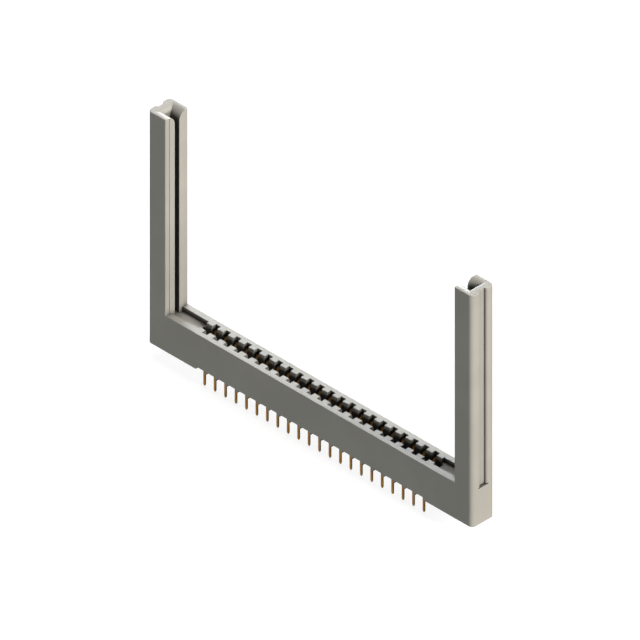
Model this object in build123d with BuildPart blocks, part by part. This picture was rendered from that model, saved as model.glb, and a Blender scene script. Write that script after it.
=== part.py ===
"""Dual-row card edge connector with a card guide post moulded on each end.

Millimetres. The origin is the middle of the seating plane, which is the underside of the
body. X runs along the rows of contacts, the front face looks towards -Y, and +Z is up.
"""

from build123d import *
import os

os.makedirs("parts", exist_ok=True)

# Contact grid
positions = 22
contact_pitch = 3.9624
row_spacing = 5.08

# Body of the moulding
body_length = 123.2
body_width = 8.5
body_height = 11.68
end_corner_radius = 1.4
front_edge_radius = 0.12
back_edge_radius = 0.4

# Guide posts
post_top = 75.9
post_length = 6.85
post_inner_corner_radius = 0.3
post_edge_chamfer = 0.15
band_width = 5.5
band_raise = 0.1
guide_slot_width = 1.75
guide_slot_depth = 3.4
mouth_side_radius = 2.7
mouth_end_radius = 1.45

# Relief groove down the outer end of each post
groove_width = 2.1
groove_depth = 0.83
groove_rim_radius = 0.8
foot_slit_width = 3.8
foot_slit_depth = 1.6
foot_slit_height = 0.3

# Card slot and the recesses at its two ends
card_slot_margin = 2.97
card_slot_width = 2.05
card_slot_depth = 8.1
lead_in_width = 0.38
lead_in_depth = 0.9
recess_width = 4.3
recess_depth = 1.5

# Pockets that hold the contacts
pocket_width = 1.85
pocket_depth = 9.1
shoulder_height = 1.5
contact_fit = 0.02

# Arches under the body, between its stand-off ribs
arch_height = 0.85
arch_corner_radius = 0.8
rib_width = 0.45

# Contacts
contact_thickness = 0.34
tail_width = 0.74
tail_length = 5.3
tail_taper_length = 0.5
tail_tip_width = 0.42
shank_width = 1.25
spring_start = 4.3
spring_bow_height = 8.3
spring_bow_gap = 0.57
spring_bend_radius = 2.5
spring_bow_radius = 0.9
spring_tip_height = 10.3
spring_tip_reach = 1.95
spring_tip_width = 0.9

# Places that follow from the sizes above
row_offset = row_spacing / 2
pocket_outer = row_offset + contact_thickness / 2
first_place = -contact_pitch * (positions - 1) / 2
contact_places = [first_place + contact_pitch * index for index in range(positions)]
recess_end = contact_pitch * (positions + 1) / 2 - pocket_width / 2
card_slot_length = 2 * (contact_places[-1] + pocket_width / 2 + card_slot_margin)
post_inner_face = body_length / 2 - post_length
guide_slot_end = post_length - guide_slot_depth
pocket_floor = body_height - pocket_depth


def post_plane(side, height):
    """Level plane at one end of the body, with its x axis running inwards from the end face."""
    return Plane(origin=(side * body_length / 2, 0, height), x_dir=(-side, 0, 0), z_dir=(0, 0, 1))


# Shape of the flared mouth that leads the card into a guide slot, drawn as the space it leaves
with BuildPart() as mouth:
    with BuildSketch(Plane.YZ):
        with Locations((0, -mouth_side_radius)):
            Rectangle(
                guide_slot_width + 2 * mouth_side_radius,
                mouth_side_radius + post_edge_chamfer,
                align=(Align.CENTER, Align.MIN),
            )
        with Locations(
            (-guide_slot_width / 2 - mouth_side_radius, -mouth_side_radius),
            (guide_slot_width / 2 + mouth_side_radius, -mouth_side_radius),
        ):
            Circle(mouth_side_radius, mode=Mode.SUBTRACT)
    extrude(amount=post_length + band_raise)
    with BuildSketch(Plane.XZ):
        with Locations((guide_slot_end, -mouth_side_radius)):
            Rectangle(
                guide_slot_depth + band_raise,
                mouth_side_radius + post_edge_chamfer,
                align=(Align.MIN, Align.MIN),
            )
        with Locations((guide_slot_end, -mouth_end_radius)):
            Rectangle(
                mouth_end_radius,
                mouth_end_radius + post_edge_chamfer,
                align=(Align.MAX, Align.MIN),
            )
        with Locations((guide_slot_end - mouth_end_radius, -mouth_end_radius)):
            Circle(mouth_end_radius, mode=Mode.SUBTRACT)
    extrude(amount=body_width, both=True, mode=Mode.INTERSECT)

# Guide post with a slightly raised inner band and a relief groove, drawn at the origin with its
# x axis running inwards from the end face
with BuildPart() as post:
    with BuildSketch(Plane.XY) as post_plan:
        Rectangle(post_length, body_width, align=(Align.MIN, Align.CENTER))
        fillet(post_plan.vertices().group_by(Axis.X)[0], end_corner_radius)
        fillet(post_plan.vertices().group_by(Axis.X)[-1], post_inner_corner_radius)
    extrude(amount=post_top)
    chamfer(post.faces().sort_by(Axis.Z)[-1].edges(), post_edge_chamfer)
    with BuildSketch(Plane.XY):
        with Locations((post_length, 0)):
            Rectangle(2 * band_raise, band_width)
    extrude(amount=post_top - post_edge_chamfer)
    with BuildSketch(Plane.XY.offset(body_height)) as groove_plan:
        Rectangle(2 * groove_depth, groove_width)
        Rectangle(
            groove_depth, groove_width + 3 * groove_rim_radius, align=(Align.MAX, Align.CENTER)
        )
        fillet(groove_plan.vertices().group_by(Axis.X)[1].sort_by(Axis.Y)[1:3], groove_rim_radius)
    extrude(amount=post_top - body_height, mode=Mode.SUBTRACT)

# Insulator: body, guide posts, card slot, pockets and arches in one moulding
with BuildPart() as housing:
    with BuildSketch(Plane.YZ) as body_section:
        with Locations((0, body_height / 2)):
            Rectangle(body_width, body_height)
        fillet(body_section.vertices().group_by(Axis.X)[0].sort_by(Axis.Y)[-1], front_edge_radius)
        fillet(body_section.vertices().group_by(Axis.X)[-1].sort_by(Axis.Y)[-1], back_edge_radius)
    extrude(amount=body_length / 2 - end_corner_radius, both=True)
    for side in (-1, 1):
        with Locations(Location(post_plane(side, 0))):
            add(post.part)

    # Slit that undercuts each post at the foot of its groove
    for side in (-1, 1):
        with BuildSketch(post_plane(side, body_height)):
            Rectangle(foot_slit_depth, foot_slit_width, align=(Align.MIN, Align.CENTER))
        extrude(amount=foot_slit_height, mode=Mode.SUBTRACT)

    # Guide slots, running down to the floor of the end recesses, and their flared mouths
    for side in (-1, 1):
        with BuildSketch(post_plane(side, body_height - recess_depth)):
            with Locations((guide_slot_end, 0)):
                Rectangle(
                    guide_slot_depth + band_raise,
                    guide_slot_width,
                    align=(Align.MIN, Align.CENTER),
                )
        extrude(amount=post_top, mode=Mode.SUBTRACT)
        with Locations(Location(post_plane(side, post_top))):
            add(mouth.part, mode=Mode.SUBTRACT)

    # End recesses between each post and the first contact
    with BuildSketch(Plane.XY.offset(body_height)):
        for side in (-1, 1):
            with Locations((side * (post_inner_face + recess_end) / 2, 0)):
                Rectangle(post_inner_face - recess_end, recess_width)
    extrude(amount=-recess_depth, mode=Mode.SUBTRACT)

    # Card slot with a sloped lead-in along both sides
    with BuildSketch(Plane.XY.offset(body_height)):
        Rectangle(card_slot_length, card_slot_width)
    extrude(amount=-card_slot_depth, mode=Mode.SUBTRACT)
    with BuildSketch(Plane.YZ):
        with BuildLine():
            Polyline(
                (-card_slot_width / 2, body_height - lead_in_depth),
                (-card_slot_width / 2 - lead_in_width, body_height),
                (card_slot_width / 2 + lead_in_width, body_height),
                (card_slot_width / 2, body_height - lead_in_depth),
                close=True,
            )
        make_face()
    extrude(amount=recess_end, both=True, mode=Mode.SUBTRACT)

    # Contact pockets with their floor passages
    with BuildSketch(Plane.XY.offset(body_height)):
        with Locations([(place, 0) for place in contact_places]):
            Rectangle(pocket_width, 2 * pocket_outer)
            Rectangle(pocket_width, card_slot_width, mode=Mode.SUBTRACT)
    extrude(amount=-pocket_depth, mode=Mode.SUBTRACT)
    for side in (-1, 1):
        passage_y = side * (pocket_outer - (contact_thickness + contact_fit) / 2)
        with BuildSketch(Plane.XY.offset(pocket_floor)):
            with Locations([(place, passage_y) for place in contact_places]):
                Rectangle(shank_width + 2 * contact_fit, contact_thickness + contact_fit)
        extrude(amount=shoulder_height - pocket_floor, mode=Mode.SUBTRACT)
        with BuildSketch(Plane.XY.offset(shoulder_height)):
            with Locations([(place, passage_y) for place in contact_places]):
                Rectangle(tail_width + 2 * contact_fit, contact_thickness + contact_fit)
        extrude(amount=-shoulder_height, mode=Mode.SUBTRACT)

    # Arches under the body, one at each contact position
    with BuildSketch(Plane.XZ) as arch_profile:
        with Locations([(place, 0) for place in contact_places]):
            Rectangle(contact_pitch - rib_width, 2 * arch_height)
        fillet(arch_profile.vertices().group_by(Axis.Y)[-1], arch_corner_radius)
    extrude(amount=body_width, both=True, mode=Mode.SUBTRACT)
housing.part.label = "housing"
export_step(housing.part, "parts/housing.step")


def contact(side):
    """One stamped contact at X = 0: tail, shouldered shank, bowed spring and turned-back tip."""
    with BuildPart() as blade:
        with BuildSketch(Plane(origin=(0, 0, 0), x_dir=(0, side, 0), z_dir=(side, 0, 0))):
            with BuildLine():
                FilletPolyline(
                    (row_offset, -tail_length),
                    (row_offset, spring_start),
                    (spring_bow_gap, spring_bow_height),
                    (spring_tip_reach, spring_tip_height),
                    radius=[spring_bend_radius, spring_bow_radius],
                )
            trace(line_width=contact_thickness)
        extrude(amount=shank_width / 2, both=True)
        with BuildSketch(Plane.XZ):
            with BuildLine():
                Polyline(
                    (tail_tip_width / 2, -tail_length),
                    (tail_width / 2, -tail_length + tail_taper_length),
                    (tail_width / 2, shoulder_height),
                    (shank_width / 2, shoulder_height),
                    (shank_width / 2, spring_start),
                    (spring_tip_width / 2, spring_tip_height + contact_thickness),
                    (0, spring_tip_height + contact_thickness),
                    (0, -tail_length),
                    close=True,
                )
            make_face()
            mirror(about=Plane.YZ)
        extrude(amount=body_width, both=True, mode=Mode.INTERSECT)
    return blade.part


for row_name, side in (("front", -1), ("rear", 1)):
    blank = contact(side)
    for index, place in enumerate(contact_places):
        name = f"contact_{row_name}_{index + 1:02d}"
        piece = blank.moved(Location((place, 0, 0)))
        piece.label = name
        export_step(piece, f"parts/{name}.step")
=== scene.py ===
import math

import bmesh
import bpy
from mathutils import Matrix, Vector


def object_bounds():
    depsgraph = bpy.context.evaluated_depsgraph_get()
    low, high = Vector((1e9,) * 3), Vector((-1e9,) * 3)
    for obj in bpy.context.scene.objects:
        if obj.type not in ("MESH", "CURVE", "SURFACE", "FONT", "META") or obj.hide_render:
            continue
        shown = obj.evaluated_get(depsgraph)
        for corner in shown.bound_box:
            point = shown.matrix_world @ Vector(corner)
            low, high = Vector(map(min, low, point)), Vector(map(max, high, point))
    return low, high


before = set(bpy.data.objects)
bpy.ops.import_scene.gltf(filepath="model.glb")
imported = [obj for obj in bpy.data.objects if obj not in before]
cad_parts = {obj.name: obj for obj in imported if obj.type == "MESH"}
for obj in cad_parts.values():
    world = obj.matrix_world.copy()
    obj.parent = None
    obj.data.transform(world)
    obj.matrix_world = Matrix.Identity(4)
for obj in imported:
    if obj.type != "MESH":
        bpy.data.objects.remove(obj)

# Looks, light and camera for the card edge connector. Metres, +Z up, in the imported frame.

cad_low, cad_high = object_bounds()

# Camera: parallel projection, turned and raised as in the photograph
image_size = 640
pixels_per_metre = 3727.1
camera_azimuth = math.radians(45)
camera_elevation = math.radians(35.2)
camera_distance = 1.0
camera_near = 0.01
camera_far = 10.0
view_centre = Vector((-0.0002, -0.0002, 0.03556))

# Lights: where each one stands as seen from the middle of the view, how wide and high it is, its
# power in watts and its colour. The back light gives sheen alone, and the two fill lights give none.
# The rear fill is there for views from behind and hardly reaches what the photograph shows.
studio_lights = {
    "key_light": {
        "direction": (0.84, 0.06, 0.37),
        "distance": 9.0,
        "size": (2.6, 2.6),
        "power": 2340.0,
        "colour": (1.0, 0.945, 0.895),
    },
    "back_light": {
        "direction": (-0.476, 0.824, 0.309),
        "distance": 0.6,
        "size": (0.84, 0.19),
        "power": 8.2,
        "colour": (0.93, 0.97, 1.0),
        "diffuse": False,
    },
    "top_light": {
        "direction": (-0.1, 0.2, 0.97),
        "distance": 0.8,
        "size": (0.4, 0.4),
        "power": 4.1,
        "colour": (1.0, 0.99, 0.97),
    },
    "fill_light": {
        "direction": (-0.12, -0.99, 0.03),
        "distance": 0.9,
        "size": (0.6, 0.12),
        "power": 5.9,
        "colour": (0.98, 0.99, 1.0),
        "glossy": False,
    },
    "rear_fill": {
        "direction": (-0.72, 0.69, 0.04),
        "distance": 0.9,
        "size": (0.6, 0.12),
        "power": 5.0,
        "colour": (0.98, 0.99, 1.0),
        "glossy": False,
    },
}
sky_colour = (1.0, 0.99, 0.97, 1)
sky_strength = 0.04

# Noises: nearly all their values lie in this range
noise_roughness = 0.55
noise_range = (0.3, 0.7)

# Painted shade in gaps: rays per point, and the openness from which no shade is painted any more
painted_shade_samples = 8
painted_shade_open = 0.95

# Moulding. Colours are linear, here and below.
moulding_dark = (0.207, 0.204, 0.184, 1)
moulding_light = (0.218, 0.215, 0.194, 1)
moulding_clouds = {"scale": 90, "detail": 3}
moulding_grain = {"scale": 5200, "detail": 2}
moulding_grain_share = 0.35
moulding_tone_range = (0.6, 0.8)
moulding_roughness = (0.4, 0.45)
# Painted shade in the moulding's gaps and recesses
moulding_painted_gap_shade = {"reach": 0.003, "closed": 0.35, "darkest": 0.22}
skin_texture = {"scale": 3600, "detail": 3}
skin_height = 0.00002
skin_strength = 0.08

# Contacts. Their painted shade inside the body begins at the seat and is full from its full height
# upwards.
gold_dark = (0.62, 0.29, 0.07, 1)
gold_light = (0.86, 0.45, 0.12, 1)
drawn_streaks = {"scale": 2600, "detail": 3, "stretch": (1, 1, 0.12)}
plating_patches = {"scale": 700, "detail": 2}
plating_patch_share = 0.6
plating_tone_range = (0.7, 0.9)
plating_metallic = (0.45, 0.65)
plating_roughness = (0.3, 0.42)
# Painted shade on the contacts where they stand inside the body
plating_painted_body_shade = {"full_height": 0.002, "darkest": 0.42}
# Painted shade in the gaps around the contacts
plating_painted_gap_shade = {"reach": 0.0025, "closed": 0.6, "darkest": 0.04}
streak_height = 0.00001
streak_strength = 0.3

# Floor and backdrop
paper_dark = (0.14, 0.14, 0.14, 1)
paper_light = (0.15, 0.15, 0.15, 1)
paper_clouds = {"scale": 8, "detail": 2}
paper_roughness = 0.9
glow_colour = (1, 1, 1, 1)
floor_glow = 0.87
floor_half_width = 3.0
backdrop_glow = 1.0
backdrop_radius = 4.0
backdrop_segments = 32
backdrop_rings = 16


def new_material(name):
    """A new material, with its node tree and its main shader."""
    material = bpy.data.materials.new(name)
    material.use_nodes = True
    tree = material.node_tree
    return material, tree, tree.nodes["Principled BSDF"]


def noise(tree, scale, detail, stretch=(1, 1, 1)):
    """Noise fixed to the object, its features about as large as one over the scale, in metres."""
    place = tree.nodes.new("ShaderNodeTexCoord")
    mapping = tree.nodes.new("ShaderNodeMapping")
    mapping.inputs["Scale"].default_value = stretch
    texture = tree.nodes.new("ShaderNodeTexNoise")
    texture.inputs["Scale"].default_value = scale
    texture.inputs["Detail"].default_value = detail
    texture.inputs["Roughness"].default_value = noise_roughness
    tree.links.new(place.outputs["Object"], mapping.inputs["Vector"])
    tree.links.new(mapping.outputs["Vector"], texture.inputs["Vector"])
    return texture.outputs["Fac"]


def remap(tree, value, from_range, to_range):
    """A value moved from one range to another, and kept inside it."""
    node = tree.nodes.new("ShaderNodeMapRange")
    names = ("From Min", "From Max", "To Min", "To Max")
    for name, number in zip(names, (*from_range, *to_range)):
        node.inputs[name].default_value = number
    tree.links.new(value, node.inputs["Value"])
    return node.outputs["Result"]


def two_tones(tree, value, tone_range, dark, light):
    """The dark tone where a value is at the low end of a range, the light one at its high end."""
    ramp = tree.nodes.new("ShaderNodeValToRGB")
    ramp.color_ramp.elements[0].color = dark
    ramp.color_ramp.elements[1].color = light
    tree.links.new(remap(tree, value, tone_range, (0, 1)), ramp.inputs["Fac"])
    return ramp.outputs["Color"]


def add_values(tree, first, second, weight):
    """The first value plus the second one times a weight."""
    node = tree.nodes.new("ShaderNodeMath")
    node.operation = "MULTIPLY_ADD"
    node.inputs[1].default_value = weight
    tree.links.new(second, node.inputs[0])
    tree.links.new(first, node.inputs[2])
    return node.outputs["Value"]


def bump(tree, height, distance, strength):
    """A normal that follows a height, where a height of one stands for the distance in metres."""
    node = tree.nodes.new("ShaderNodeBump")
    node.inputs["Distance"].default_value = distance
    node.inputs["Strength"].default_value = strength
    tree.links.new(height, node.inputs["Height"])
    return node.outputs["Normal"]


def scaled(tree, colour, factor):
    """The colour times a factor."""
    node = tree.nodes.new("ShaderNodeVectorMath")
    node.operation = "SCALE"
    tree.links.new(colour, node.inputs[0])
    tree.links.new(factor, node.inputs["Scale"])
    return node.outputs["Vector"]


def painted_gap_shade(tree, colour, reach, closed, darkest):
    """The colour with painted shade: dimmed where other surfaces stand within reach around it."""
    openness = tree.nodes.new("ShaderNodeAmbientOcclusion")
    openness.samples = painted_shade_samples
    openness.inputs["Distance"].default_value = reach
    factor = remap(tree, openness.outputs["AO"], (closed, painted_shade_open), (darkest, 1.0))
    return scaled(tree, colour, factor)


def painted_shade_inside_body(tree, colour, full_height, darkest):
    """The colour of a contact, dimmed to brown by painted shade on the part that stands inside the
    body.
    """
    place = tree.nodes.new("ShaderNodeTexCoord")
    parts = tree.nodes.new("ShaderNodeSeparateXYZ")
    tree.links.new(place.outputs["Object"], parts.inputs["Vector"])
    factor = remap(tree, parts.outputs["Z"], (0.0, full_height), (1.0, darkest))
    return scaled(tree, colour, factor)


def moulding_material():
    """Satin filled moulding: cloudy tone, fine filler grain, a faint skin texture and painted shade
    in its gaps.
    """
    material, tree, shader = new_material("moulding")
    clouds = noise(tree, **moulding_clouds)
    grain = noise(tree, **moulding_grain)
    tone = add_values(tree, clouds, grain, moulding_grain_share)
    colour = two_tones(tree, tone, moulding_tone_range, moulding_dark, moulding_light)
    # Painted shade: the colour is darkened in gaps, pockets and recesses
    colour = painted_gap_shade(tree, colour, **moulding_painted_gap_shade)
    roughness = remap(tree, clouds, noise_range, moulding_roughness)
    skin = bump(tree, noise(tree, **skin_texture), skin_height, skin_strength)
    tree.links.new(colour, shader.inputs["Base Color"])
    tree.links.new(roughness, shader.inputs["Roughness"])
    tree.links.new(skin, shader.inputs["Normal"])
    return material


def contact_material():
    """Thin dull gold plating on a stamped strip: drawn streaks, tone changes, and painted shade
    inside the body and in gaps.
    """
    material, tree, shader = new_material("gold_plating")
    streaks = noise(tree, **drawn_streaks)
    patches = noise(tree, **plating_patches)
    tone = add_values(tree, streaks, patches, plating_patch_share)
    colour = two_tones(tree, tone, plating_tone_range, gold_dark, gold_light)
    # Painted shade: the contact is darkened where it stands inside the body
    colour = painted_shade_inside_body(tree, colour, **plating_painted_body_shade)
    # Painted shade: the colour is darkened in gaps and pockets
    colour = painted_gap_shade(tree, colour, **plating_painted_gap_shade)
    metallic = remap(tree, patches, noise_range, plating_metallic)
    roughness = remap(tree, patches, noise_range, plating_roughness)
    drawn = bump(tree, streaks, streak_height, streak_strength)
    tree.links.new(colour, shader.inputs["Base Color"])
    tree.links.new(metallic, shader.inputs["Metallic"])
    tree.links.new(roughness, shader.inputs["Roughness"])
    tree.links.new(drawn, shader.inputs["Normal"])
    return material


def paper_material(name, glow):
    """Matt paper with a barely uneven tone and a white glow of its own."""
    material, tree, shader = new_material(name)
    colour = two_tones(tree, noise(tree, **paper_clouds), noise_range, paper_dark, paper_light)
    tree.links.new(colour, shader.inputs["Base Color"])
    shader.inputs["Roughness"].default_value = paper_roughness
    shader.inputs["Emission Color"].default_value = glow_colour
    shader.inputs["Emission Strength"].default_value = glow
    return material


def dress(node_name, material):
    """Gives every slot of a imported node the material."""
    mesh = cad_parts[node_name].data
    if not mesh.materials:
        mesh.materials.append(material)
    for index in range(len(mesh.materials)):
        mesh.materials[index] = material


def add_object(name, data):
    """A new object in the scene."""
    added = bpy.data.objects.new(name, data)
    bpy.context.scene.collection.objects.link(added)
    return added


def add_paper(name, mesh, glow):
    """Glowing paper of the studio that casts neither light nor shadow on the part."""
    mesh.materials.append(paper_material(f"{name}_paper", glow))
    paper = add_object(name, mesh)
    paper.visible_diffuse = False
    paper.visible_glossy = False
    paper.visible_shadow = False
    return paper


def add_floor():
    """Pale floor under the tips of the solder tails."""
    half = floor_half_width
    mesh = bpy.data.meshes.new("floor")
    corners = [(-half, -half, 0), (half, -half, 0), (half, half, 0), (-half, half, 0)]
    mesh.from_pydata(corners, [], [(0, 1, 2, 3)])
    floor = add_paper("floor", mesh, floor_glow)
    floor.location.z = cad_low.z


def add_backdrop():
    """Pale ball around the whole scene, for views along the floor."""
    mesh = bpy.data.meshes.new("backdrop")
    ball = bmesh.new()
    bmesh.ops.create_uvsphere(
        ball, u_segments=backdrop_segments, v_segments=backdrop_rings, radius=backdrop_radius
    )
    ball.to_mesh(mesh)
    ball.free()
    backdrop = add_paper("backdrop", mesh, backdrop_glow)


def add_area_light(name, direction, distance, size, power, colour, diffuse=True, glossy=True):
    """A soft light that faces the middle of the view, and lights surfaces, gives sheen, or both."""
    light = bpy.data.lights.new(name, "AREA")
    light.shape = "RECTANGLE"
    light.size, light.size_y = size
    light.energy = power
    light.color = colour
    lamp = add_object(name, light)
    lamp.visible_diffuse = diffuse
    lamp.visible_glossy = glossy
    away = Vector(direction).normalized()
    lamp.location = view_centre + away * distance
    lamp.rotation_euler = (-away).to_track_quat("-Z", "Y").to_euler()


def add_sky():
    """Even pale surroundings."""
    world = bpy.data.worlds.new("studio")
    bpy.context.scene.world = world
    world.use_nodes = True
    background = world.node_tree.nodes["Background"]
    background.inputs["Color"].default_value = sky_colour
    background.inputs["Strength"].default_value = sky_strength


def add_camera():
    """Parallel camera at the photograph's angle and scale."""
    data = bpy.data.cameras.new("camera")
    data.type = "ORTHO"
    data.ortho_scale = image_size / pixels_per_metre
    data.clip_start = camera_near
    data.clip_end = camera_far
    camera = add_object("camera", data)
    back = Vector((
        math.sin(camera_azimuth) * math.cos(camera_elevation),
        -math.cos(camera_azimuth) * math.cos(camera_elevation),
        math.sin(camera_elevation),
    ))
    camera.location = view_centre + back * camera_distance
    camera.rotation_euler = (-back).to_track_quat("-Z", "Y").to_euler()
    bpy.context.scene.camera = camera


add_camera()
moulding = moulding_material()
gold = contact_material()
for node_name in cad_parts:
    dress(node_name, moulding if node_name == "housing" else gold)
add_floor()
add_backdrop()
add_sky()
for light_name, light_values in studio_lights.items():
    add_area_light(light_name, **light_values)
bpy.context.scene.view_settings.view_transform = "Standard"
